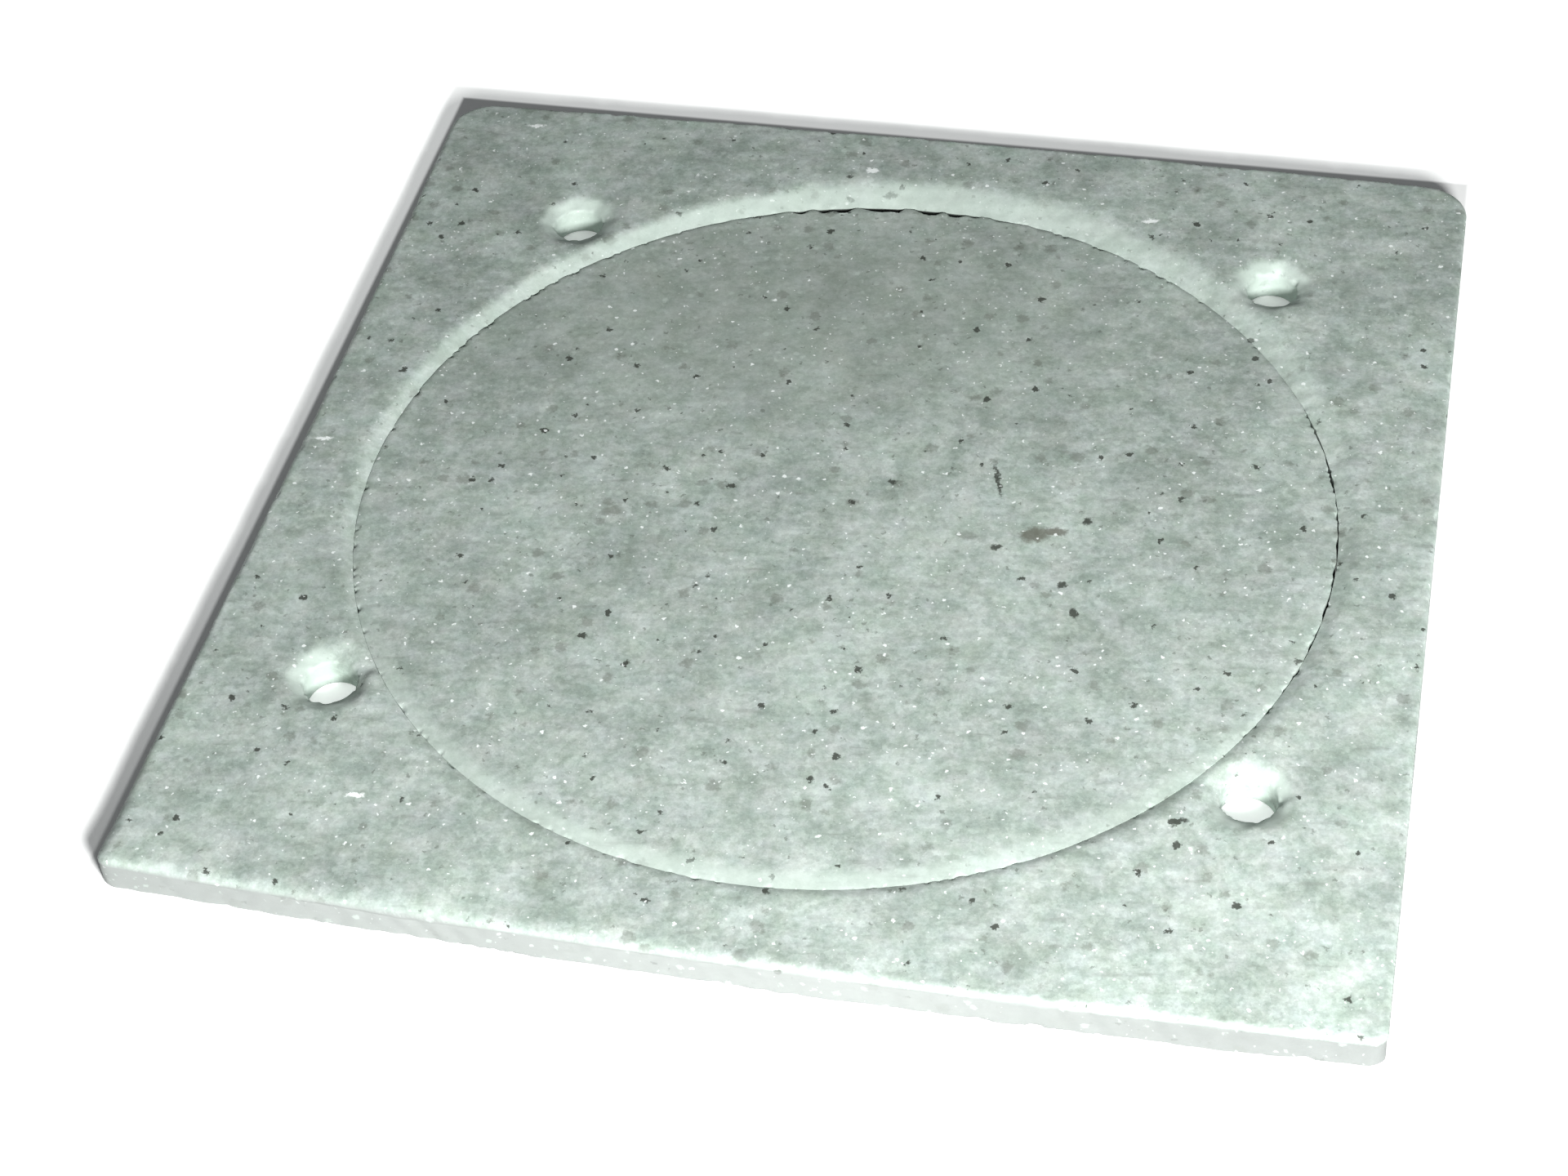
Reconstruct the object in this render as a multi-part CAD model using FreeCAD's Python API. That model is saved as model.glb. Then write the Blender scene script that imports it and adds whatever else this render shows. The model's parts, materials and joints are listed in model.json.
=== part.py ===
"""Granite work slab: a square stone surround and the round stone disc that lies in its opening.

Millimetres, +Z up. The origin is on the surface that the slab lies on, under the middle of its
bounding box. -Y is the near side, +Y the far side.
"""

import FreeCAD, Part
import math
import os

# Outline of the square surround
SIDE = 305.0
THICKNESS = 10.0
NEAR_BOW = 3.0          # how far the middle of the near edge stands out past its corners
FAR_BOW = 2.0           # the same on the far edge
LEFT_HOLLOW = 1.5       # how far the middle of the left edge is dressed in behind its corners
FAR_CORNER_RADIUS = 12.0
NEAR_CORNER_RADIUS = 3.5
TOP_ARRIS = 1.5         # radius that eases the surround's top edge
BOTTOM_ARRIS = 0.6      # radius that eases the lower edges of both stones

# Round opening in the surround, a little nearer to the near edge. The bevel round it was cut with the
# tool tipped slightly, so that it is wide and deep at the far side and almost nothing at the near side.
OPENING_RADIUS = 128.8
OPENING_X = -0.3
OPENING_Y = -4.0
BEVEL_RUN = 4.9         # at the left and the right
BEVEL_DEPTH = 2.05
BEVEL_SOFT_RADIUS = 3.0
TIP_DEGREES = 0.73

# Loose disc: its top is tipped as the bevel is, flush with the surround at the near side
JOINT_GAP = 0.4
DISC_THICKNESS = 8.3    # in its middle
DISC_EDGE_RADIUS = 0.6

# Four countersunk screw holes: two behind the opening and two, further apart, in front of it
HOLE_RADIUS = 7.0
FLARE_RUN = 4.0
FLARE_DEPTH = 3.0
FLARE_SOFT_RADIUS = 4.0
FAR_HOLE_SPACING = 202.5
FAR_HOLE_Y = 102.0
NEAR_HOLE_SPACING = 230.0
NEAR_HOLE_Y = -85.5

OVERCUT = 5.0           # how far the cutting tools run past the stone

# The bowed near and far edges shift the bounding box's middle off the middle of the square
CENTRE_Y = (NEAR_BOW - FAR_BOW) / 2.0


def point(x, y, z=0.0):
    return FreeCAD.Vector(x, y, z)


def line(start, end):
    return Part.LineSegment(start, end).toShape()


def arc(start, through, end):
    return Part.Arc(start, through, end).toShape()


def revolved(profile):
    """Turn a closed profile in the XZ plane once around the Z axis."""
    face = Part.Face(Part.Wire(profile))
    return face.revolve(point(0, 0, 0), point(0, 0, 1), 360)


def flared_cutter(radius, run, depth, soft_radius):
    """Tool for a round hole through the surround, flared out to its top face.

    The flare is a cone that meets the top face in an arc tangent to both.
    """
    slope = math.atan2(depth, run)
    tangent = soft_radius * math.tan(slope / 2)
    top = THICKNESS
    rim = radius + run
    on_cone = point(rim - tangent * math.cos(slope), 0, top - tangent * math.sin(slope))
    on_top = point(rim + tangent, 0, top)
    half = slope / 2
    centre_z = top - soft_radius
    middle = point(on_top.x - soft_radius * math.sin(half), 0, centre_z + soft_radius * math.cos(half))
    foot = point(radius, 0, -OVERCUT)
    cone_foot = point(radius, 0, top - depth)
    above_rim = point(on_top.x, 0, top + OVERCUT)
    axis_top = point(0, 0, top + OVERCUT)
    axis_foot = point(0, 0, -OVERCUT)
    return revolved([
        line(axis_foot, foot),
        line(foot, cone_foot),
        line(cone_foot, on_cone),
        arc(on_cone, middle, on_top),
        line(on_top, above_rim),
        line(above_rim, axis_top),
        line(axis_top, axis_foot),
    ])


def tipped(shape, height):
    """Set a shape over the opening's middle at a height, with its far side tipped down."""
    shape.rotate(point(0, 0, 0), point(1, 0, 0), -TIP_DEGREES)
    return shape.translated(point(OPENING_X, OPENING_Y, height))


def bevel_cutter():
    """Cone that bevels the opening. It runs on past the joint line and above the top face."""
    low = point(OPENING_RADIUS - BEVEL_RUN, 0, -2 * BEVEL_DEPTH)
    high = point(OPENING_RADIUS + 3 * BEVEL_RUN, 0, 2 * BEVEL_DEPTH)
    axis_low = point(0, 0, low.z)
    axis_high = point(0, 0, high.z)
    cone = revolved([
        line(axis_low, low),
        line(low, high),
        line(high, axis_high),
        line(axis_high, axis_low),
    ])
    return tipped(cone, THICKNESS)


def round_bar(radius, low, high):
    """Upright cylinder about the opening's middle."""
    return Part.makeCylinder(radius, high - low, point(OPENING_X, OPENING_Y, low))


def outline_blank():
    """The square stone before it is bored: bowed edges, rounded corners, eased arrises."""
    half = SIDE / 2
    near_left = point(-half, CENTRE_Y - half)
    near_right = point(half, CENTRE_Y - half)
    far_right = point(half, CENTRE_Y + half)
    far_left = point(-half, CENTRE_Y + half)
    near_middle = point(0, near_left.y - NEAR_BOW)
    far_middle = point(0, far_left.y + FAR_BOW)
    left_middle = point(-half + LEFT_HOLLOW, CENTRE_Y)
    outline = Part.Wire([
        arc(near_left, near_middle, near_right),
        line(near_right, far_right),
        arc(far_right, far_middle, far_left),
        arc(far_left, left_middle, near_left),
    ])
    blank = Part.Face(outline).extrude(point(0, 0, THICKNESS))
    uprights = [edge for edge in blank.Edges if is_upright(edge)]
    far = [edge for edge in uprights if edge.CenterOfMass.y > 0]
    blank = blank.makeFillet(FAR_CORNER_RADIUS, far)
    near = [edge for edge in blank.Edges if is_upright(edge) and edge.CenterOfMass.y < 0]
    blank = blank.makeFillet(NEAR_CORNER_RADIUS, near)
    blank = blank.makeFillet(TOP_ARRIS, edges_at(blank, THICKNESS))
    return blank.makeFillet(BOTTOM_ARRIS, edges_at(blank, 0.0))


def is_upright(edge):
    box = edge.BoundBox
    return box.ZLength > THICKNESS / 2 and box.XLength < 0.01 and box.YLength < 0.01


def edges_at(shape, height):
    """Every edge that lies flat at the given height."""
    return [
        edge for edge in shape.Edges
        if abs(edge.BoundBox.ZMin - height) < 0.01 and abs(edge.BoundBox.ZMax - height) < 0.01
    ]


def is_wide_ring(edge):
    box = edge.BoundBox
    return box.XLength > OPENING_RADIUS and box.YLength > OPENING_RADIUS


def surround():
    stone = outline_blank()
    stone = stone.cut(round_bar(OPENING_RADIUS, -OVERCUT, THICKNESS + OVERCUT))
    stone = stone.cut(bevel_cutter())
    bevel_rim = [edge for edge in edges_at(stone, THICKNESS) if is_wide_ring(edge)]
    stone = stone.makeFillet(BEVEL_SOFT_RADIUS, bevel_rim)
    hole = flared_cutter(HOLE_RADIUS, FLARE_RUN, FLARE_DEPTH, FLARE_SOFT_RADIUS)
    for spacing, y in ((FAR_HOLE_SPACING, FAR_HOLE_Y), (NEAR_HOLE_SPACING, NEAR_HOLE_Y)):
        for side in (-1, 1):
            stone = stone.cut(hole.translated(point(side * spacing / 2, y)))
    return stone


def disc():
    """The round stone: flat underside, tipped flat top, eased edges."""
    radius = OPENING_RADIUS - JOINT_GAP
    stone = round_bar(radius, 0, THICKNESS + OVERCUT)
    above = Part.makeCylinder(radius + OVERCUT, THICKNESS)
    stone = stone.cut(tipped(above, DISC_THICKNESS))
    top_rim = [edge for edge in stone.Edges if is_wide_ring(edge) and edge.BoundBox.ZMin > 1.0]
    stone = stone.makeFillet(DISC_EDGE_RADIUS, top_rim)
    return stone.makeFillet(BOTTOM_ARRIS, edges_at(stone, 0.0))


def export(shape, name):
    """Write one sub-part as STEP, as a solid that has been checked."""
    solid = shape.Solids[0]
    if len(shape.Solids) != 1 or not solid.isValid():
        raise ValueError(name + " is not one valid solid")
    solid.exportStep("parts/" + name + ".step")
    box = solid.BoundBox
    print("%-16s %8.1f cm3   %.2f x %.2f x %.2f mm" % (
        name, solid.Volume / 1000, box.XLength, box.YLength, box.ZLength))


os.makedirs("parts", exist_ok=True)
export(surround(), "square_surround")
export(disc(), "round_disc")
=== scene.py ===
"""Looks of the granite work slab: two stone pieces, a pale floor, one soft key light and a camera.

Lengths are in metres. Both stones are meshed here as fine height fields that follow the CAD solids,
with the chips and worn arrises of real stone as geometry. The bevel round the opening, the tip of the
disc and the flares of the screw holes are a little shallower here than in the solids.
"""

import bpy
import json
import math
import numpy as np
from mathutils import Matrix, Vector
from mathutils.geometry import delaunay_2d_cdt


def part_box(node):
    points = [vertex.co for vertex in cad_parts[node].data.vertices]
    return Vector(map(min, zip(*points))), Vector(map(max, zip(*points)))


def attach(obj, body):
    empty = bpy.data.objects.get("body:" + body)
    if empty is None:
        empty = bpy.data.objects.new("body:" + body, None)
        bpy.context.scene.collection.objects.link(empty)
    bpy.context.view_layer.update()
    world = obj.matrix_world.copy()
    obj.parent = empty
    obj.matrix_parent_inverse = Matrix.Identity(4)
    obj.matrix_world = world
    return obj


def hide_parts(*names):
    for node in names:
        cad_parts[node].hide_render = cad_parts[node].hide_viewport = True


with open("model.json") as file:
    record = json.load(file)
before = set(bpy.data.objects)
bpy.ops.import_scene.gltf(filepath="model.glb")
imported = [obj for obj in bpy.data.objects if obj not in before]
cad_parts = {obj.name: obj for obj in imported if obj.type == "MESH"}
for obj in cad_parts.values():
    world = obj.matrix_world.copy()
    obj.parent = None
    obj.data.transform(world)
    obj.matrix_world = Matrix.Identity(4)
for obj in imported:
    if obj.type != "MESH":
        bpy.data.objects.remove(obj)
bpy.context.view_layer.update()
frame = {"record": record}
MM = 0.001

# Sizes of the two stones, read from the frame where it holds them
SURROUND_LOW, SURROUND_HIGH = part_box("square_surround")
DISC_LOW, DISC_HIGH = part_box("round_disc")
TOP = SURROUND_HIGH.z
DISC_TOP = DISC_HIGH.z
DISC_MIDDLE = 8.55 * MM     # thickness of the disc in its middle
DISC_RADIUS = (DISC_HIGH.x - DISC_LOW.x) / 2
DISC_X = (DISC_HIGH.x + DISC_LOW.x) / 2
DISC_Y = (DISC_HIGH.y + DISC_LOW.y) / 2
HALF_SIDE = SURROUND_HIGH.x

# Outline of the surround
NEAR_BOW = 3.0 * MM         # how far the middle of the near edge stands out past its corners
FAR_BOW = 2.0 * MM          # the same on the far edge
LEFT_HOLLOW = 1.5 * MM      # how far the middle of the left edge is dressed in behind its corners
FAR_CORNER = 12.0 * MM
NEAR_CORNER = 3.5 * MM
CENTRE_Y = (NEAR_BOW - FAR_BOW) / 2

# The opening with its bevel, and the flares of the screw holes
JOINT_GAP = 0.4 * MM
OPENING_RADIUS = DISC_RADIUS + JOINT_GAP
BEVEL_RUN = 4.9 * MM        # at the left and the right
BEVEL_DEPTH = 1.85 * MM
TIP = math.tan(math.radians(0.60))
FLARE_RUN = 4.0 * MM
FLARE_DEPTH = 2.3 * MM
FLARE_SOFT = 0.45 * MM      # how gently a flare meets the top face

TINY = 1e-7                 # less than any distance that matters
SAME_PLACE = 1e-9           # points closer than this are one point


def screw_holes():
    """Centre and radius of every screw hole, from the bolt patterns in the record."""
    holes = []
    for mount in frame["record"]["mounts"]:
        if mount["kind"] != "bolt_pattern":
            continue
        half_spacing = mount["dims"]["spacing_x_mm"] * MM / 2
        for side in (-1, 1):
            holes.append((side * half_spacing, mount["pos_m"][1], mount["dims"]["hole_r_mm"] * MM))
    return holes


HOLES = screw_holes()


# ---------------------------------------------------------------- smooth random fields

class Field:
    """Smooth random field over space: a sum of plane waves of nearly one wavelength."""

    def __init__(self, seed, wavelength, waves=14):
        rng = np.random.default_rng(seed)
        direction = rng.normal(size=(waves, 3))
        direction /= np.linalg.norm(direction, axis=1)[:, None]
        length = wavelength * rng.uniform(0.7, 1.5, waves)
        self.wave = direction * (2 * math.pi / length)[:, None]
        self.phase = rng.uniform(0, 2 * math.pi, waves)
        self.scale = math.sqrt(2 / waves)

    def __call__(self, points):
        return np.sin(points @ self.wave.T + self.phase).sum(axis=1) * self.scale


def from_opening(x, y):
    """Distance from the opening's middle, and the bearing round it: 0 near, 90 right, 180 far."""
    return np.hypot(x - DISC_X, y - DISC_Y), np.degrees(np.arctan2(x - DISC_X, DISC_Y - y))


def swell(bearing, middle, spread):
    """1 at one bearing, fading to 0 on both sides of it."""
    off = (bearing - middle + 180) % 360 - 180
    return np.exp(-(off / spread) ** 2)


def smooth_step(value):
    """0 below 0 and 1 above 1, with a smooth rise between them."""
    value = np.clip(value, 0, 1)
    return value * value * (3 - 2 * value)


def soft_positive(value, soft):
    """The value where it is above 0 and 0 where it is below, with a gentle turn between the two."""
    return soft * np.logaddexp(0, value / soft)


def on_plane(x, y):
    """Points over the given places, where the random fields are read."""
    return np.stack([x, y, np.zeros_like(x)], axis=1)


# ---------------------------------------------------------------- outline of the surround

def inset(x, y):
    """Distance in from the surround's outline: bowed edges and rounded corners."""
    u = np.clip(x / HALF_SIDE, -1, 1)
    v = np.clip((y - CENTRE_Y) / HALF_SIDE, -1, 1)
    near = y - (CENTRE_Y - HALF_SIDE - NEAR_BOW * (1 - u * u))
    far = (CENTRE_Y + HALF_SIDE + FAR_BOW * (1 - u * u)) - y
    left = x - (-HALF_SIDE + LEFT_HOLLOW * (1 - v * v))
    right = HALF_SIDE - x
    corner = np.where(y > CENTRE_Y, FAR_CORNER, NEAR_CORNER)
    along_x = np.minimum(left, right)
    along_y = np.minimum(near, far)
    short_x = np.maximum(corner - along_x, 0)
    short_y = np.maximum(corner - along_y, 0)
    rounded = corner - np.hypot(short_x, short_y)
    return np.where((short_x > 0) & (short_y > 0), rounded, np.minimum(along_x, along_y))


def outline_ring(depth, count):
    """Evenly spaced points at one distance in from the outline, anticlockwise."""
    angle = np.linspace(0, 2 * math.pi, 4 * count, endpoint=False)
    near = np.full_like(angle, 0.5 * HALF_SIDE)
    far = np.full_like(angle, 1.5 * HALF_SIDE)
    # on every ray from the middle, halve the range that holds the ring
    for _ in range(40):
        middle = (near + far) / 2
        inside = inset(middle * np.cos(angle), middle * np.sin(angle)) > depth
        near = np.where(inside, middle, near)
        far = np.where(inside, far, middle)
    loop = np.stack([near * np.cos(angle), near * np.sin(angle)], axis=1)
    step = np.linalg.norm(np.roll(loop, -1, axis=0) - loop, axis=1)
    travelled = np.concatenate([[0], np.cumsum(step)])
    wanted = np.linspace(0, travelled[-1], count, endpoint=False)
    closed = np.vstack([loop, loop[:1]])
    return np.stack([np.interp(wanted, travelled, closed[:, axis]) for axis in (0, 1)], axis=1)


def circle(x, y, radius, count, turn=0.0):
    """Evenly spaced points round a circle, anticlockwise."""
    angle = np.linspace(0, 2 * math.pi, count, endpoint=False) + turn
    return np.stack([x + radius * np.cos(angle), y + radius * np.sin(angle)], axis=1)


ROW_STEP = 0.87     # distance between two rows, as a share of the pitch
JITTER = 0.22       # the furthest that a point moves either way, as a share of the pitch


def jittered_grid(low, high, pitch, seed):
    """Loose points over a rectangle, in staggered rows, each moved a little at random."""
    rng = np.random.default_rng(seed)
    xs = np.arange(low[0], high[0], pitch)
    ys = np.arange(low[1], high[1], pitch * ROW_STEP)
    x, y = np.meshgrid(xs, ys)
    x = x + (np.arange(len(ys)) % 2)[:, None] * pitch / 2
    points = np.stack([x.ravel(), y.ravel()], axis=1)
    return points + rng.uniform(-JITTER, JITTER, points.shape) * pitch


def from_holes(x, y):
    """Distance outward of the nearest screw hole's wall."""
    return np.min([np.hypot(x - hole_x, y - hole_y) - radius for hole_x, hole_y, radius in HOLES], axis=0)


def spread_rings(centre, radii, count):
    """Loose points on a row of circles, staggered from each to the next."""
    half_step = math.pi / count
    return np.vstack([
        circle(centre[0], centre[1], radius, count, turn=(number % 2) * half_step)
        for number, radius in enumerate(radii, start=1)])


def at_height(loop, height):
    """The points of a loop, all at one height."""
    return np.column_stack([loop, np.full(len(loop), height)])


def pointing_out(loop, centre):
    """Unit vectors from a centre out through each point of a loop."""
    away = loop - np.array(centre)
    return away / np.linalg.norm(away, axis=1)[:, None]


# ---------------------------------------------------------------- mesh building

class StoneMesh:
    """Collects points and faces of one closed stone. lips are the rings that stay crisp edges."""

    def __init__(self):
        self.points = []
        self.faces = []
        self.lips = []
        self.count = 0

    def add(self, points):
        """Adds points and returns their indices."""
        points = np.asarray(points, float)
        self.points.append(points)
        indices = np.arange(self.count, self.count + len(points))
        self.count += len(points)
        return indices

    def wall(self, lower, upper):
        """Quads between two rings of the same length; their outer side is on the right of the run."""
        after = np.roll(np.arange(len(lower)), -1)
        self.faces.extend(
            zip(lower.tolist(), lower[after].tolist(), upper[after].tolist(), upper.tolist()))

    def sheet(self, loops, fill, keep, upward):
        """Triangulated flat region: closed loops already added as indices, with loose fill points."""
        all_points = np.vstack(self.points)
        edges = []
        order = []
        for loop in loops:
            start = len(order)
            order.extend(loop.tolist())
            size = len(loop)
            edges.extend((start + i, start + (i + 1) % size) for i in range(size))
        order.extend(fill.tolist())
        order = np.array(order)
        flat = [Vector((p[0], p[1])) for p in all_points[order]]
        _, _, triangles, origin, _, _ = delaunay_2d_cdt(flat, edges, [], 0, SAME_PLACE, True)
        source = np.array([order[same[0]] if same else -1 for same in origin])
        triangles = source[np.array(triangles)]
        middle = all_points[triangles].mean(axis=1)
        triangles = triangles[keep(middle[:, 0], middle[:, 1])]
        if not upward:
            triangles = triangles[:, ::-1]
        self.faces.extend(map(tuple, triangles.tolist()))

    def finish(self, name, reshape, kinds_of_face):
        """Makes the object. reshape moves the points, and kinds_of_face gives how much each point is of
        each kind of face, from 0 to 1."""
        flat = np.vstack(self.points)
        moved = reshape(flat)
        mesh = bpy.data.meshes.new(name)
        mesh.from_pydata(moved.tolist(), [], self.faces)
        for kind, share in kinds_of_face(flat, moved).items():
            attribute = mesh.attributes.new(kind, "FLOAT", "POINT")
            attribute.data.foreach_set("value", share.astype(np.float32))
        mesh.polygons.foreach_set("use_smooth", [True] * len(mesh.polygons))
        ends = np.zeros(2 * len(mesh.edges), np.int32)
        mesh.edges.foreach_get("vertices", ends)
        crisp = np.isin(ends, np.concatenate(self.lips)).reshape(-1, 2).all(axis=1)
        mesh.attributes.new("sharp_edge", "BOOLEAN", "EDGE").data.foreach_set("value", crisp)
        mesh.update()
        stone = bpy.data.objects.new(name, mesh)
        bpy.context.scene.collection.objects.link(stone)
        return stone


class Chips:
    """Shell-shaped chips broken out of an edge: each is a ball that the stone's points are pushed out of."""

    def __init__(self):
        self.balls = []

    def along(self, loop, height, outward, count, seed, radius, bite, lift=1.0):
        """Places chips at random along a loop of points. outward points away from the stone. radius and
        bite are ranges in mm. Small chips are the commonest, and larger ones bite deeper."""
        rng = np.random.default_rng(seed)
        heights = np.broadcast_to(height, len(loop))
        for _ in range(count):
            at = rng.integers(len(loop))
            size = radius[0] + (radius[1] - radius[0]) * rng.random() ** 2.5
            deep = rng.uniform(*bite) * size ** 0.6
            tilt = rng.uniform(0.5, 1.1)
            away = np.array([outward[at, 0] * tilt, outward[at, 1] * tilt, lift])
            away /= np.linalg.norm(away)
            edge = np.array([loop[at, 0], loop[at, 1], heights[at]])
            self.balls.append((edge + away * (size - deep) * MM, size * MM))

    def apply(self, points):
        """Pushes every point that lies in a ball out to the ball's surface."""
        moved = points.copy()
        for centre, size in self.balls:
            close = np.abs(moved - centre).max(axis=1) < size
            index = np.flatnonzero(close)
            offset = moved[index] - centre
            distance = np.linalg.norm(offset, axis=1)
            inside = distance < size
            index, offset, distance = index[inside], offset[inside], distance[inside]
            moved[index] = centre + offset * (size / np.maximum(distance, SAME_PLACE))[:, None]
        return moved


# ---------------------------------------------------------------- the square surround

# Where the rings of points lie: inward of the outline, outward of the opening and of the holes, and up
# the walls
OUTLINE_INSETS = [d * MM for d in (0.0, 0.25, 0.6, 1.0, 1.5, 2.1, 2.9, 4.0, 5.5)]
OUTLINE_COUNT = 1100
WALL_HEIGHTS = [h * MM for h in (0.0, 0.25, 0.7, 1.6, 3.0, 4.5, 6.0, 7.4, 8.4, 9.2, 9.7)]
BEVEL_RINGS = [d * MM for d in (0.0, 0.3, 0.7, 1.2, 1.9, 2.7, 3.6, 4.6, 5.7, 6.9, 8.2, 9.6, 11.2, 13.2)]
RING_COUNT = 840
OPENING_HEIGHTS = [h * MM for h in (0.0, 0.3, 1.0, 2.2, 3.8, 5.4, 6.2)]
HOLE_RINGS = [d * MM for d in (0.0, 0.35, 0.8, 1.4, 2.1, 2.9, 3.7, 4.6, 5.6, 6.8)]
HOLE_COUNT = 64
HOLE_HEIGHTS = [h * MM for h in (0.0, 0.3, 1.2, 2.8, 4.6, 6.0, 6.6)]
FILL_PITCH = 2.2 * MM
UNDERSIDE_PITCH = 7.0 * MM

ARRIS_WIDTH = 1.5 * MM
ARRIS_WIDENING = 3.4 * MM   # added at the left of the near edge
JOINT_SHADE_HEIGHT = 6.5 * MM      # how far up the joint's walls the painted shade reaches

# Random fields, each with a seed and a wavelength
edge_wander = Field(11, 34 * MM)
edge_ripple = Field(12, 5 * MM)
face_wave = Field(13, 60 * MM)
face_grain = Field(14, 3.2 * MM)


def face_relief(points):
    """Slight waves and grain of an upper face."""
    return 0.05 * MM * face_wave(points) + 0.02 * MM * face_grain(points)


def foot_wear(height):
    """How far the foot of a wall is worn in."""
    return np.clip(1 - height / (0.7 * MM), 0, 1) * 0.35 * MM


def arris_width(x, y):
    """How far in from the outline the worn top edge starts: widest at the left of the near edge."""
    points = on_plane(x, y)
    near = smooth_step((-y - 100 * MM) / (50 * MM))
    widened = near * (0.12 + 0.88 * smooth_step((60 * MM - x) / (140 * MM)))
    uneven = 1 + 0.18 * edge_wander(points) + 0.06 * edge_ripple(points)
    return (ARRIS_WIDTH + ARRIS_WIDENING * widened) * uneven


def opening_drop(x, y):
    """Depth below the top face beside the opening: a bevel, wide and deep at the far side, that is worn
    away to almost nothing at the near side."""
    points = on_plane(x, y)
    radius, bearing = from_opening(x, y)
    uneven = 1 + 0.05 * edge_wander(points) + 0.02 * edge_ripple(points)
    steep = 1 + 0.55 * swell(bearing, 232, 40) - 0.12 * swell(bearing, 160, 30)
    depth = (BEVEL_DEPTH + TIP * (y - DISC_Y)) * uneven
    plane = depth - (radius - OPENING_RADIUS) * BEVEL_DEPTH / BEVEL_RUN * steep
    return soft_positive(plane, (0.25 + 0.35 * swell(bearing, 165, 32)) * MM)


def surround_top(x, y):
    """Height of the surround's upper face over any point."""
    points = on_plane(x, y)
    uneven = 1 + 0.10 * edge_wander(points) + 0.10 * edge_ripple(points)
    flare = FLARE_DEPTH * (1 - from_holes(x, y) / (FLARE_RUN * uneven))
    # the arris is a quarter of an ellipse, as wide as it is worn in and as high as its fall
    width = np.maximum(arris_width(x, y), 0.6 * MM)
    into = np.clip(1 - inset(x, y) / width, 0, 1)
    fall = np.minimum(0.9 * width, 1.2 * MM + 0.25 * width)
    arris = fall * (1 - np.sqrt(np.maximum(1 - into * into, 0)))
    height = TOP - opening_drop(x, y) - soft_positive(flare, FLARE_SOFT) - arris
    return height + face_relief(points)


def surround_inside(x, y):
    """True where the surround's stone lies under a point."""
    return (inset(x, y) > 0) & (from_opening(x, y)[0] > OPENING_RADIUS) & (from_holes(x, y) > 0)


def clear_of_features(points, margin):
    """True for fill points that lie clear of the rings around every edge."""
    x, y = points[:, 0], points[:, 1]
    clear = inset(x, y) > OUTLINE_INSETS[-1] + margin
    clear &= from_opening(x, y)[0] > OPENING_RADIUS + BEVEL_RINGS[-1] + margin
    clear &= from_holes(x, y) > HOLE_RINGS[-1] + margin
    return clear


def painted_joint_shade(bearing, height):
    """Painted shade in the joint, low down and only where the joint has opened: at the far side and the
    right.
    """
    opened = np.clip(swell(bearing, 186, 24) + 0.7 * swell(bearing, 95, 34), 0, 1)
    return (height < JOINT_SHADE_HEIGHT) * opened


def surround_fill():
    """Loose points of the surround's upper face: rings along every edge, and a grid between them."""
    fill = [outline_ring(depth, OUTLINE_COUNT) for depth in OUTLINE_INSETS[1:]]
    radii = [OPENING_RADIUS + step for step in BEVEL_RINGS[1:]]
    bevel = spread_rings((DISC_X, DISC_Y), radii, RING_COUNT)
    fill.append(bevel[from_holes(bevel[:, 0], bevel[:, 1]) > HOLE_RINGS[-2]])
    for hole_x, hole_y, hole_radius in HOLES:
        radii = [hole_radius + step for step in HOLE_RINGS[1:]]
        fill.append(spread_rings((hole_x, hole_y), radii, HOLE_COUNT))
    grid = jittered_grid(SURROUND_LOW, SURROUND_HIGH, FILL_PITCH, 21)
    fill.append(grid[clear_of_features(grid, FILL_PITCH * 0.4)])
    fill = np.vstack(fill)
    return fill[surround_inside(fill[:, 0], fill[:, 1])]


def surround_chips(outline, opening, hole_loops):
    """Chips along the surround's upper and lower edges, round its opening and in its screw holes."""
    chips = Chips()
    along = np.roll(outline, -1, axis=0) - np.roll(outline, 1, axis=0)
    away = np.stack([along[:, 1], -along[:, 0]], axis=1)
    away /= np.linalg.norm(away, axis=1)[:, None]
    chips.along(outline, TOP, away, count=260, seed=31, radius=(1.0, 3.6), bite=(0.25, 0.6))
    chips.along(outline, 0.0, away, count=160, seed=32, radius=(1.0, 4.0), bite=(0.2, 0.6), lift=-1.0)
    inward = -pointing_out(opening, (DISC_X, DISC_Y))
    joint = TOP - BEVEL_DEPTH - TIP * (opening[:, 1] - DISC_Y)
    chips.along(opening, joint, inward, count=90, seed=33, radius=(0.6, 2.0), bite=(0.10, 0.35))
    for number, loop in enumerate(hole_loops):
        inward = -pointing_out(loop, HOLES[number][:2])
        foot = TOP - FLARE_DEPTH
        chips.along(loop, foot, inward, count=22, seed=40 + number, radius=(0.6, 2.2), bite=(0.15, 0.5))
    return chips


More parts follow.
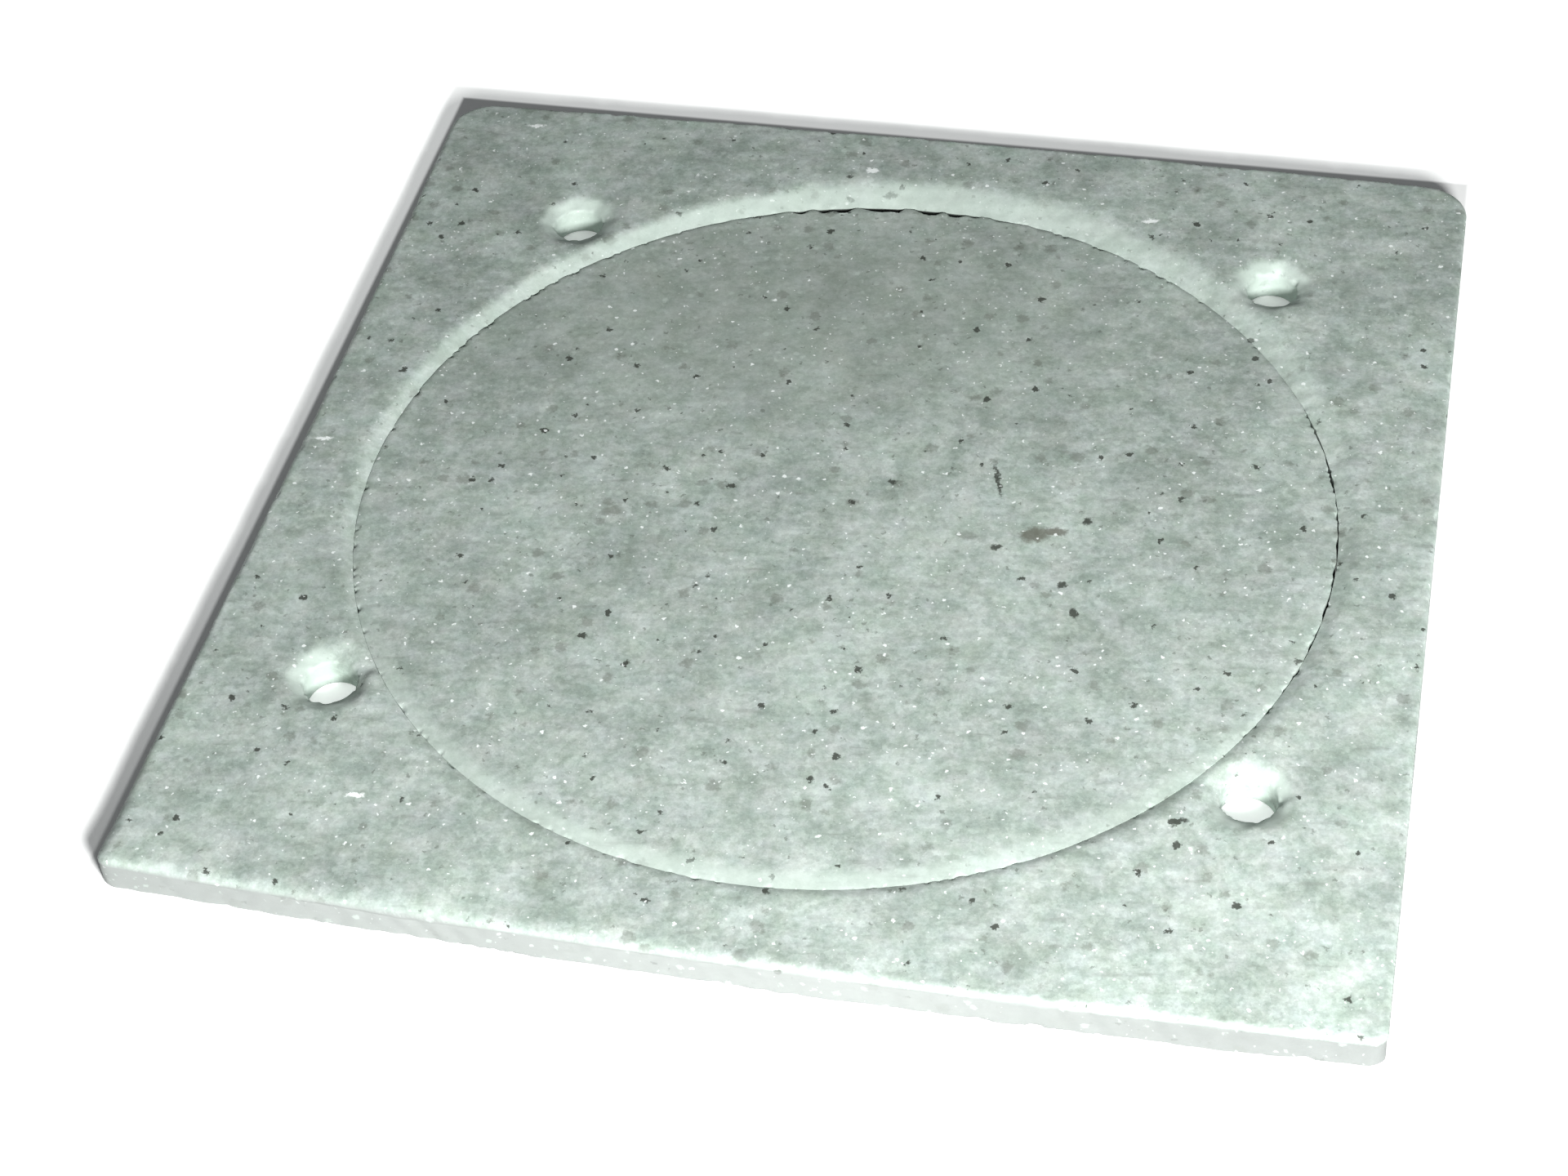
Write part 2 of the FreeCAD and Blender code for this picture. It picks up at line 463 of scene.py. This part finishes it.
def make_surround():
    """The square stone with its opening and screw holes."""
    stone = StoneMesh()
    outline = outline_ring(0.0, OUTLINE_COUNT)
    opening = circle(DISC_X, DISC_Y, OPENING_RADIUS, RING_COUNT)
    hole_loops = [circle(hole_x, hole_y, radius, HOLE_COUNT) for hole_x, hole_y, radius in HOLES]

    def build_wall(loop, heights, facing_out):
        """A wall from the underside up to the loop that it shares with the top face."""
        rings = [stone.add(at_height(loop, height)) for height in heights + [TOP]]
        for lower, upper in zip(rings, rings[1:]):
            if facing_out:
                stone.wall(lower, upper)
            else:
                stone.wall(upper, lower)
        return rings[0], rings[-1]

    walls = [build_wall(outline, WALL_HEIGHTS, True), build_wall(opening, OPENING_HEIGHTS, False)]
    stone.lips.append(walls[-1][1])
    walls += [build_wall(loop, HOLE_HEIGHTS, False) for loop in hole_loops]

    fill = stone.add(at_height(surround_fill(), TOP))
    stone.sheet([high for low, high in walls], fill, surround_inside, upward=True)
    coarse = jittered_grid(SURROUND_LOW, SURROUND_HIGH, UNDERSIDE_PITCH, 22)
    coarse = stone.add(at_height(coarse[clear_of_features(coarse, -2 * MM)], 0.0))
    stone.sheet([low for low, high in walls], coarse, surround_inside, upward=False)
    chips = surround_chips(outline, opening, hole_loops)

    def reshape(flat):
        """Raises every point of the top sheet to its height and roughens the walls."""
        moved = flat.copy()
        x, y, z = flat.T
        top_height = surround_top(x, y)
        on_top = z >= TOP - TINY
        moved[on_top, 2] = top_height[on_top]

        # the points of the outer wall are brought down with the worn edge above them
        on_outline = inset(x, y) < 0.3 * MM
        on_wall = ~on_top & (z > 0)
        ceiling = np.where(on_outline, top_height + 0.02 * MM, TOP)
        share = np.clip(z / TOP, 0, 1)
        moved[on_wall, 2] = np.minimum(z, np.maximum(share * ceiling, 0))[on_wall]

        # and they move in, square to the side that they lie on and at a corner to both sides
        rough = 0.10 * MM * edge_ripple(flat) + 0.16 * MM * edge_wander(flat) + foot_wear(z) + 0.2 * MM
        from_middle = np.stack([x, y], axis=1) / HALF_SIDE
        furthest = np.abs(from_middle).max(axis=1)
        facing = np.where(np.abs(from_middle) > furthest[:, None] - 0.03, np.sign(from_middle), 0)
        side = on_outline & ~on_top
        moved[side, :2] -= (facing * np.maximum(rough, 0)[:, None])[side]
        return chips.apply(moved)

    def kinds_of_face(flat, moved):
        """Cut or worn pale wherever the stone lies below the plane of its top, but only a little beside the
        near half of the opening: partly the stone's own paler colour there, partly painted light. Sawn on
        the outer walls. Painted shade low in the open joint."""
        below = TOP - moved[:, 2]
        outside = smooth_step(2.0 - inset(flat[:, 0], flat[:, 1]) / (3 * MM))
        radius, bearing = from_opening(flat[:, 0], flat[:, 1])
        beside = smooth_step((OPENING_RADIUS + 11 * MM - radius) / (3 * MM))
        # keeps the paleness, partly painted light, full on the far bevel and low beside the near half
        worn = 1 - beside * 0.85 * (1 - swell(bearing, 195, 62))
        return {
            "cut_face": smooth_step((below - 0.10 * MM) / (0.8 * MM)) * worn * (1 - 0.85 * outside),
            "sawn_wall": smooth_step((below - 0.9 * MM) / (1.2 * MM)) * outside,
            # painted shade low on the walls of the open joint
            "dirt": (radius < OPENING_RADIUS + 0.1 * MM) * painted_joint_shade(bearing, flat[:, 2]),
        }

    return stone.finish("granite_surround", reshape, kinds_of_face)


# ---------------------------------------------------------------- the round disc

# Where the rings of points lie: inward of the rim, and up the wall
RIM_RINGS = [d * MM for d in (0.0, 0.12, 0.35, 0.7, 1.1, 1.6, 2.2, 2.8, 3.4, 4.2, 5.2, 6.5, 8.2, 10.2)]
DISC_HEIGHTS = [h * MM for h in (0.0, 0.3, 1.0, 2.4, 4.0, 5.6, 6.3)]
DISC_PITCH = 2.6 * MM
DISC_UNDERSIDE_PITCH = 9.0 * MM

TOUCH_GAP = 0.04 * MM       # what is left of the joint where it is tight


def disc_top(x, y):
    """Height of the disc's upper face: flat, with a rim that is worn most on the near side."""
    points = on_plane(x, y)
    radius, bearing = from_opening(x, y)
    near = swell(bearing, 4, 48)
    run = (0.9 + 5.2 * near) * MM * (1 + 0.12 * edge_wander(points))
    into = np.clip(1 - (DISC_RADIUS - radius) / run, 0, 1)
    drop = (0.22 + 0.30 * near) * MM * into ** 1.4
    level = DISC_MIDDLE - TIP * (y - DISC_Y)
    return level - drop + face_relief(points)


def disc_shrink(x, y):
    """How far the disc's edge is broken away at the joint: most at the far side, a little at the right.
    Elsewhere it is below 0, and the edge almost touches the surround."""
    bearing = from_opening(x, y)[1]
    broken = (2.3 * swell(bearing, 186, 15) + 0.50 * swell(bearing, 95, 26)) * MM
    ragged = np.clip(0.75 + 0.45 * edge_ripple(on_plane(x, y)), 0.1, 1.5)
    return broken * ragged - (JOINT_GAP - TOUCH_GAP)


def disc_chips(edge):
    """Chips along the disc's upper and lower edges."""
    chips = Chips()
    outward = pointing_out(edge, (DISC_X, DISC_Y))
    rim = DISC_MIDDLE - 0.4 * MM - TIP * (edge[:, 1] - DISC_Y)
    chips.along(edge, rim, outward, count=90, seed=51, radius=(0.8, 2.2), bite=(0.10, 0.35))
    chips.along(edge, 0.0, outward, count=90, seed=52, radius=(0.8, 3.0), bite=(0.15, 0.45), lift=-1.0)
    return chips


def make_disc():
    """The round stone that lies in the opening."""
    stone = StoneMesh()
    edge = circle(DISC_X, DISC_Y, DISC_RADIUS, RING_COUNT)
    rings = [stone.add(at_height(edge, height)) for height in DISC_HEIGHTS + [DISC_TOP]]
    stone.lips.append(rings[-1])
    for lower, upper in zip(rings, rings[1:]):
        stone.wall(lower, upper)

    rim = spread_rings((DISC_X, DISC_Y), [DISC_RADIUS - step for step in RIM_RINGS[1:]], RING_COUNT)
    grid = jittered_grid(DISC_LOW, DISC_HIGH, DISC_PITCH, 23)
    reach = from_opening(grid[:, 0], grid[:, 1])[0]
    grid = grid[reach < DISC_RADIUS - RIM_RINGS[-1] - DISC_PITCH * 0.4]
    fill = stone.add(at_height(np.vstack([rim, grid]), DISC_TOP))

    def inside(x, y):
        return from_opening(x, y)[0] < DISC_RADIUS

    stone.sheet([rings[-1]], fill, inside, upward=True)
    coarse = jittered_grid(DISC_LOW, DISC_HIGH, DISC_UNDERSIDE_PITCH, 24)
    coarse = coarse[from_opening(coarse[:, 0], coarse[:, 1])[0] < DISC_RADIUS - 4 * MM]
    stone.sheet([rings[0]], stone.add(at_height(coarse, 0.0)), inside, upward=False)
    chips = disc_chips(edge)

    def reshape(flat):
        """Raises every point of the top sheet to its height and moves the edge in or out."""
        moved = flat.copy()
        x, y, z = flat.T
        on_top = z >= DISC_TOP - TINY
        moved[on_top, 2] = disc_top(x, y)[on_top]
        radius = from_opening(x, y)[0]
        rim = smooth_step((radius - DISC_RADIUS + 2.5 * MM) / (2.4 * MM))
        on_wall = radius > DISC_RADIUS - 0.1 * MM
        depth = rim * disc_shrink(x, y) + on_wall * foot_wear(z)
        outward = (flat[:, :2] - (DISC_X, DISC_Y)) / np.maximum(radius, 1 * MM)[:, None]
        moved[:, :2] -= outward * depth[:, None]
        return chips.apply(moved)

    def kinds_of_face(flat, moved):
        """Worn pale in a band a few millimetres wide along the near rim, partly wear and partly painted
        light. Painted shade low in the open joint.
        """
        radius, bearing = from_opening(flat[:, 0], flat[:, 1])
        band = smooth_step((radius - DISC_RADIUS + 6.5 * MM) / (4.0 * MM))
        return {
            # pale rim, partly wear and partly painted light, strongest on the near side
            "cut_face": band * (0.10 + 0.80 * swell(bearing, 0, 52)),
            # painted shade low on the walls of the open joint
            "dirt": (radius > DISC_RADIUS - 0.1 * MM) * painted_joint_shade(bearing, flat[:, 2]),
        }

    return stone.finish("granite_disc", reshape, kinds_of_face)


# ---------------------------------------------------------------- granite material

# Larger inclusions that catch the eye: x, y, length and width in mm, and turn in degrees
DARK_MARKS = [
    (38.5, 13, 15, 1.5, 107), (65.5, -32.5, 4.4, 2.0, 110), (61, -23, 3.0, 2.4, 40), (64, 1, 3.4, 2.6, 60),
    (42, -12, 3.0, 2.4, 30), (11, 8, 3.0, 2.0, 10), (100, -97, 4.5, 1.8, 35), (-13, 128, 5.0, 2.2, 20),
]
GREY_MARKS = [(34, -9, 6, 4, 0), (58, 25, 5, 4, 0), (-5, 10, 4, 2.6, 20), (-60, -15, 7, 4, 10)]
BROWN_MARKS = [(51, -6, 9, 6.5, 20), (56, -4, 8, 4.0, 10)]
# Glints, painted as pale highlights: x, y, length and width in mm, and turn in degrees
GLINTS = [
    (64, 125, 6, 2, 10), (-126, 144, 6, 2, 8), (-145, -1, 5, 1.8, 10), (-96, -122, 5, 1.6, 10),
    (-20, 137, 4, 2, 10),
]
FACE_LEVEL = 9.0    # height in mm about which the inclusions lie

# Flecks: how close their cells are, the share of cells that hold one, the largest radius in mm, the
# width of the soft edge in mm, and how ragged the edge is
BLACK_FLECKS = (0.135, 0.80, 1.20, 0.35, 0.9)
SMUDGES = (0.125, 0.85, 2.3, 1.1, 1.0)
DARK_GRAINS = (0.36, 0.55, 0.66, 0.30, 0.9)
PALE_GRAINS = (0.30, 0.60, 1.15, 0.55, 0.7)
# Mica sparkles, painted as pale highlights
SPARKLES = (0.28, 0.36, 0.66, 0.25, 0.9)
SMALL_SPARKLES = (0.50, 0.50, 0.40, 0.15, 0.5)


def stone_grey(level, tint=(0.0, 0.0, 0.0)):
    """A grey of the given level, a little green, with a tint added."""
    base = (0.855, 1.0, 0.905)
    return tuple(level * (b + t) for b, t in zip(base, tint)) + (1.0,)


# Colours in linear light
# Pale colour of faces below the top: the stone's own paler colour, made paler still as painted light
CUT_FACE_AND_PAINTED_LIGHT = stone_grey(0.56)
PALE_GRAIN = stone_grey(0.60)
CLOUD = stone_grey(0.27, (0.01, 0.0, -0.04))
# Sawn outer walls: a plain grey darkened as painted shade, and darker still towards the right, where the key
# light is strongest
SAWN_AND_SHADED_LEFT = (0.240, 0.254, 0.246, 1.0)
SAWN_AND_SHADED_RIGHT = (0.160, 0.169, 0.164, 1.0)
SMUDGE = (0.120, 0.130, 0.108, 1.0)
VEIN = (0.170, 0.185, 0.165, 1.0)
BROWN = (0.085, 0.078, 0.055, 1.0)
DARK_GRAIN = (0.100, 0.112, 0.095, 1.0)
BLACK = (0.030, 0.034, 0.026, 1.0)
# Pale colour that paints the glints of mica
MICA_PAINTED_GLINT = (0.90, 0.95, 0.93, 1.0)
# Painted shade for the deep, open part of the joint
JOINT_SHADE_COLOUR = (0.018, 0.020, 0.018, 1.0)

# How light each stone is, and a broad, slightly brown cloud over the disc, given as the marks are
SURROUND_LEVEL = 1.04
DISC_LEVEL = 0.99
DISC_CLOUD = (-30, 75, 210, 110, 10)


class Nodes:
    """Short forms for building a shader tree."""

    def __init__(self, material):
        self.tree = material.node_tree
        self.tree.nodes.clear()

    def add(self, kind, settings=None, **inputs):
        """Adds a node. An input goes by its name, with _ for a space, or by its number, as in i0."""
        node = self.tree.nodes.new(kind)
        for key, value in (settings or {}).items():
            setattr(node, key, value)
        for key, value in inputs.items():
            if key[0] == "i" and key[1:].isdigit():
                socket = node.inputs[int(key[1:])]
            else:
                socket = node.inputs[key.replace("_", " ")]
            self.feed(socket, value)
        return node

    def feed(self, socket, value):
        """Links a socket to another one, or sets its value."""
        if isinstance(value, bpy.types.NodeSocket):
            self.tree.links.new(value, socket)
        else:
            socket.default_value = value

    def math(self, operation, first, second):
        return self.add("ShaderNodeMath", {"operation": operation}, i0=first, i1=second).outputs[0]

    def times(self, first, second):
        return self.math("MULTIPLY", first, second)

    def largest(self, values):
        """The largest of several values."""
        result = values[0]
        for value in values[1:]:
            result = self.math("MAXIMUM", result, value)
        return result

    def vector(self, operation, first, second):
        node = self.add("ShaderNodeVectorMath", {"operation": operation}, i0=first, i1=second)
        return node.outputs[0]

    def mix(self, share, first, second, blend="MIX"):
        node = self.add("ShaderNodeMix", {"data_type": "RGBA", "blend_type": blend})
        self.feed(node.inputs[0], share)
        self.feed(node.inputs[6], first)
        self.feed(node.inputs[7], second)
        return node.outputs[2]

    def band(self, value, low, high, to_low=0.0, to_high=1.0):
        """Smooth step from low to high."""
        node = self.add("ShaderNodeMapRange", {"interpolation_type": "SMOOTHSTEP"},
                        i0=value, i1=low, i2=high, i3=to_low, i4=to_high)
        return node.outputs[0]

    def noise(self, place, scale, detail=2.0, roughness=0.5):
        return self.add("ShaderNodeTexNoise", Vector=place, Scale=scale, Detail=detail, Roughness=roughness)

    def cells(self, place, scale):
        """Random cells: the distance from each one's middle, and a colour of its own, by channel."""
        node = self.add("ShaderNodeTexVoronoi", Vector=place, Scale=scale)
        channels = self.add("ShaderNodeSeparateColor", i0=node.outputs["Color"])
        return node.outputs["Distance"], channels.outputs

    def share_of(self, kind):
        """How much a point is of one kind of face, as the mesh holds it."""
        return self.add("ShaderNodeAttribute", {"attribute_name": kind}).outputs["Fac"]


class GraniteNodes(Nodes):
    """Shader tree of the granite, with what its parts share. Lengths in it are in mm.

    place is the plain place, and bent and torn are two that are shifted unevenly, so that what is
    drawn on them has uneven edges. cut is the share of pale faces below the top,
    partly painted light, and sawn that of the sawn walls.
    """

    def __init__(self, material):
        super().__init__(material)
        metres = self.add("ShaderNodeTexCoord").outputs["Object"]
        self.place = self.add("ShaderNodeMapping", Vector=metres, Scale=(1000, 1000, 1000)).outputs[0]
        wobble = self.noise(self.place, 0.9).outputs["Color"]
        self.bent = self.vector("ADD", self.place, self.vector("MULTIPLY", wobble, (1.7, 1.7, 1.7)))
        tear = self.noise(self.place, 0.55, 4.0, 0.7).outputs["Color"]
        shifted = self.vector("ADD", self.place, self.vector("MULTIPLY", tear, (4.2, 4.2, 2.0)))
        self.torn = self.vector("ADD", shifted, (-2.1, -2.1, -1.0))
        self.fine = self.noise(self.place, 0.75, 4.0, 0.7).outputs[0]
        drawn_out = self.add("ShaderNodeMapping", {"vector_type": "TEXTURE"}, Vector=self.place,
                             Rotation=(0, 0, 0.16), Scale=(5.0, 1.0, 3.0)).outputs[0]
        self.streak = self.noise(drawn_out, 0.38, 3.0, 0.6).outputs[0]
        self.crystals = self.cells(self.bent, 0.65)[1]
        self.cut = self.share_of("cut_face")
        self.sawn = self.share_of("sawn_wall")

    def flecks(self, where, scale, chance, reach, softness, ragged):
        """Random round spots, from not quite half of the reach to all of it in radius."""
        distance, channels = self.cells(where, scale)
        size = self.band(channels[1], 0.0, 1.0, reach * scale * 0.45, reach * scale)
        roughening = self.times(self.math("SUBTRACT", self.fine, 0.5), ragged * reach * scale)
        edge = self.math("SUBTRACT", size, roughening)
        spot = self.band(self.math("SUBTRACT", edge, distance), 0.0, softness * scale)
        return self.times(spot, self.math("LESS_THAN", channels[0], chance))

    def mark(self, x, y, length, width, turn, fade=1.15, core=0.55):
        """One ragged inclusion at a place on the top: 1 up to core and 0 past fade, both as shares of its
        half length and half width."""
        centred = self.add("ShaderNodeMapping", {"vector_type": "TEXTURE"}, Vector=self.torn,
                           Location=(x, y, FACE_LEVEL), Rotation=(0, 0, math.radians(turn)),
                           Scale=(length / 2, width / 2, FACE_LEVEL)).outputs[0]
        off = self.add("ShaderNodeVectorMath", {"operation": "LENGTH"}, i0=centred).outputs["Value"]
        return self.band(off, fade, core)

    def marks(self, places):
        """Several inclusions together."""
        return self.largest([self.mark(*place) for place in places])


def mottled_ground(n, level):
    """Cloudy tone at every size from 20 mm down, green and lilac patches, faint streaks and crystals."""
    patch = n.noise(n.place, 0.11, 5.0, 0.70).outputs[0]
    green = stone_grey(0.385 * level, (-0.022, 0.008, -0.018))
    lilac = stone_grey(0.395 * level, (0.026, -0.005, 0.030))
    ground = n.mix(n.band(patch, 0.36, 0.64), green, lilac)
    hue = n.noise(n.vector("ADD", n.place, (70, 30, 0)), 0.09, 4.0, 0.8).outputs["Color"]
    hue = n.vector("ADD", n.vector("MULTIPLY", hue, (0.14, 0.07, 0.14)), (0.93, 0.965, 0.93))
    ground = n.mix(1.0, ground, hue, "MULTIPLY")

    cloudy = n.noise(n.place, 0.055, 6.0, 0.82).outputs[0]
    shade = n.times(n.band(cloudy, 0.24, 0.76, 0.66, 1.34), n.band(n.streak, 0.28, 0.72, 0.94, 1.06))
    shade = n.times(shade, n.band(n.crystals[0], 0.0, 1.0, 0.92, 1.08))
    small_crystals = n.cells(n.bent, 1.6)[1]
    shade = n.times(shade, n.band(small_crystals[0], 0.0, 1.0, 0.95, 1.05))
    shade = n.add("ShaderNodeCombineColor", i0=shade, i1=shade, i2=shade).outputs[0]
    return n.mix(1.0, ground, shade, "MULTIPLY")


def worked_faces(n, ground):
    """Cut and broken faces are paler, with less contrast, partly their own colour and partly painted light.
    Sawn outer walls are a plainer grey, darkened as painted shade, most towards the right.
    """
    # pale faces below the top, partly painted light
    ground = n.mix(n.times(n.cut, 0.72), ground, CUT_FACE_AND_PAINTED_LIGHT)
    rightward = n.add("ShaderNodeSeparateXYZ", i0=n.place).outputs[0]
    # sawn walls, with painted shade that deepens towards the right
    wall = n.mix(n.band(rightward, 10, 140), SAWN_AND_SHADED_LEFT, SAWN_AND_SHADED_RIGHT)
    return n.mix(n.times(n.sawn, 0.92), ground, wall)


def granite(name, level, clouds):
    """Fine pale green-grey granite: mottled crystal grain, mica sparkle painted on as pale highlights, dark
    flecks.
    """
    material = bpy.data.materials.new(name)
    material.use_nodes = True
    n = GraniteNodes(material)
    colour = worked_faces(n, mottled_ground(n, level))
    for cloud in clouds:
        colour = n.mix(n.times(n.mark(*cloud, fade=1.4, core=0.2), 0.45), colour, CLOUD)

    weaker = n.math("MAXIMUM", n.times(n.cut, 0.55), n.times(n.sawn, 0.7))
    keep = n.math("SUBTRACT", 1.0, weaker)

    def lay(spots, strength, tone, base):
        """Lays spots of a tone over the base, weaker where the face is pale or sawn."""
        return n.mix(n.times(n.times(spots, strength), keep), base, tone)

    colour = n.mix(n.times(n.flecks(n.bent, *PALE_GRAINS), 0.30), colour, PALE_GRAIN)
    smudges = n.largest([n.flecks(n.torn, *SMUDGES), n.marks(GREY_MARKS)])
    colour = lay(smudges, 0.46, SMUDGE, colour)
    colour = lay(n.band(n.streak, 0.38, 0.27), 0.28, VEIN, colour)
    colour = n.mix(n.times(n.marks(BROWN_MARKS), 0.72), colour, BROWN)
    colour = lay(n.flecks(n.torn, *DARK_GRAINS), 0.55, DARK_GRAIN, colour)
    black = n.largest([n.flecks(n.torn, *BLACK_FLECKS), n.marks(DARK_MARKS)])
    colour = lay(black, 0.88, BLACK, colour)
    # mica sparkles and glints, painted as pale highlights
    sparkles = n.times(n.flecks(n.bent, *SPARKLES), 0.75)
    small_sparkles = n.times(n.flecks(n.bent, *SMALL_SPARKLES), 0.65)
    painted_glints = n.largest([sparkles, small_sparkles, n.times(n.marks(GLINTS), 0.9)])
    painted_glints = n.times(painted_glints, keep)
    colour = n.mix(painted_glints, colour, MICA_PAINTED_GLINT)
    # painted shade low in the open joint
    colour = n.mix(n.share_of("dirt"), colour, JOINT_SHADE_COLOUR)

    roughness = n.band(painted_glints, 0.0, 1.0, 0.62, 0.28)
    relief = n.math("ADD", n.times(n.fine, 0.5), n.times(n.crystals[1], 0.5))
    relief = n.math("SUBTRACT", relief, n.times(black, 0.8))
    bump = n.add("ShaderNodeBump", Strength=0.22, Distance=0.00012, Height=relief)
    shader = n.add("ShaderNodeBsdfPrincipled", Base_Color=colour, Roughness=roughness,
                   Normal=bump.outputs[0])
    shader.inputs["IOR"].default_value = 1.5
    shader.inputs["Specular IOR Level"].default_value = 0.35
    n.add("ShaderNodeOutputMaterial", Surface=shader.outputs[0])
    return material


# ---------------------------------------------------------------- stage, lights and camera

FLOOR_SIZE = 12.0
FLOOR_DROP = 0.05 * MM
KEY_PLACE = (0.31, -0.62, 0.37)
KEY_AIM = (0, 0.03, 0)
KEY_SIZE = 0.16
KEY_POWER = 13.6
WHITE = (1.0, 1.0, 1.0)

FLOOR_COLOUR = (0.92, 0.93, 0.92, 1.0)
FLOOR_GLOW = (0.96, 0.98, 0.97, 1.0)
SKY = (0.95, 0.98, 1.0, 1.0)
SKY_STRENGTH = 0.16

# Lines on the floor round the slab: left, right, near, far, and the width that each fades over. The
# floor's glow paints the slab's shadow: it is dark from the slab's foot to the painted shadow line, a
# painted shade from there to the shade line, and open beyond it.
SLAB_FOOT = (-0.151, 0.151, -0.154, 0.154, 0.001)
PAINTED_SHADOW_LINE = (-0.1573, 0.1515, -0.153, 0.1675, 0.0014)
SHADE_LINE = (-0.1615, 0.1525, -0.154, 0.1728, 0.0030)


def make_floor():
    """A pale floor that glows where the key light is weak, glows as painted light under the slab, and has
    its glow kept off the floor beside the slab's far and left sides as a painted shadow.
    """
    mesh = bpy.data.meshes.new("pale_floor")
    half = FLOOR_SIZE / 2
    corners = [(-half, -half), (half, -half), (half, half), (-half, half)]
    mesh.from_pydata([(x, y, -FLOOR_DROP) for x, y in corners], [], [(0, 1, 2, 3)])
    floor = bpy.data.objects.new("pale_floor", mesh)
    bpy.context.scene.collection.objects.link(floor)
    material = bpy.data.materials.new("pale_floor")
    material.use_nodes = True
    n = Nodes(material)
    place = n.add("ShaderNodeTexCoord").outputs["Object"]
    axes = n.add("ShaderNodeSeparateXYZ", i0=place)
    x, y = axes.outputs[0], axes.outputs[1]

    def beyond(left, right, near, far, fade):
        """1 on the floor outside the given lines, 0 inside them."""
        across = n.math("MAXIMUM", n.band(x, left, left - fade), n.band(x, right, right + fade))
        along = n.math("MAXIMUM", n.band(y, near, near - fade), n.band(y, far, far + fade))
        return n.math("MAXIMUM", across, along)

    # the floor under the slab is seen through the holes: its glow there is painted light, brighter under the
    # near ones
    under = n.times(n.band(beyond(*SLAB_FOOT), 1.0, 0.0), n.band(y, -0.05, 0.05, 0.48, 0.22))
    # the glow stops short of the slab's far and left sides, which paints its shadow there
    around = n.math("ADD", n.times(beyond(*PAINTED_SHADOW_LINE), 0.42), n.times(beyond(*SHADE_LINE), 0.36))
    key_foot = (KEY_PLACE[0], KEY_PLACE[1], 0.0)
    from_key = n.add("ShaderNodeVectorMath", {"operation": "DISTANCE"}, i0=place, i1=key_foot)
    from_slab = n.add("ShaderNodeVectorMath", {"operation": "LENGTH"}, i0=place)
    unlit = n.math("MAXIMUM", n.band(from_key.outputs["Value"], 0.50, 0.88),
                   n.band(from_slab.outputs["Value"], 0.38, 0.55))
    glow = n.math("ADD", under, n.times(around, unlit))
    shader = n.add("ShaderNodeBsdfPrincipled", Emission_Strength=glow)
    shader.inputs["Base Color"].default_value = FLOOR_COLOUR
    shader.inputs["Roughness"].default_value = 0.9
    shader.inputs["Emission Color"].default_value = FLOOR_GLOW
    n.add("ShaderNodeOutputMaterial", Surface=shader.outputs[0])
    mesh.materials.append(material)


def area_light(name, place, aim, size, power, colour):
    """A round soft light."""
    lamp = bpy.data.lights.new(name, "AREA")
    lamp.shape = "DISK"
    lamp.size = size
    lamp.energy = power
    lamp.color = colour
    light = bpy.data.objects.new(name, lamp)
    light.location = place
    light.rotation_mode = "QUATERNION"
    light.rotation_quaternion = (Vector(place) - Vector(aim)).to_track_quat("Z", "Y")
    bpy.context.scene.collection.objects.link(light)


def make_world():
    """The pale, weak light that comes from all round."""
    world = bpy.data.worlds.new("studio")
    bpy.context.scene.world = world
    world.use_nodes = True
    background = world.node_tree.nodes["Background"]
    background.inputs["Color"].default_value = SKY
    background.inputs["Strength"].default_value = SKY_STRENGTH


# The camera looks down from the near side, a little from the right
CAMERA_PLACE = Vector((0.1352, -0.5442, 0.5434))
CAMERA_AIM = Vector((-0.0085, -0.0368, 0.010))
CAMERA_ROLL = math.radians(-4.68)
CAMERA_LENS = 67.4      # mm


def make_camera():
    camera_data = bpy.data.cameras.new("camera")
    camera_data.lens = CAMERA_LENS
    camera_data.sensor_width = 36
    camera_data.clip_start = 0.01
    camera = bpy.data.objects.new("camera", camera_data)
    camera.location = CAMERA_PLACE
    camera.rotation_mode = "QUATERNION"
    level = (CAMERA_PLACE - CAMERA_AIM).to_track_quat("Z", "Y")
    roll = Matrix.Rotation(CAMERA_ROLL, 3, "Z").to_quaternion()
    camera.rotation_quaternion = level @ roll
    bpy.context.scene.collection.objects.link(camera)
    bpy.context.scene.camera = camera


surround = make_surround()
surround.data.materials.append(granite("surround_granite", SURROUND_LEVEL, []))
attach(surround, "surround")
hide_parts("square_surround")

disc = make_disc()
disc.data.materials.append(granite("disc_granite", DISC_LEVEL, [DISC_CLOUD]))
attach(disc, "disc")
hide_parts("round_disc")

make_floor()
make_world()
area_light("key", KEY_PLACE, KEY_AIM, KEY_SIZE, KEY_POWER, WHITE)
make_camera()
bpy.context.scene.view_settings.view_transform = "Standard"
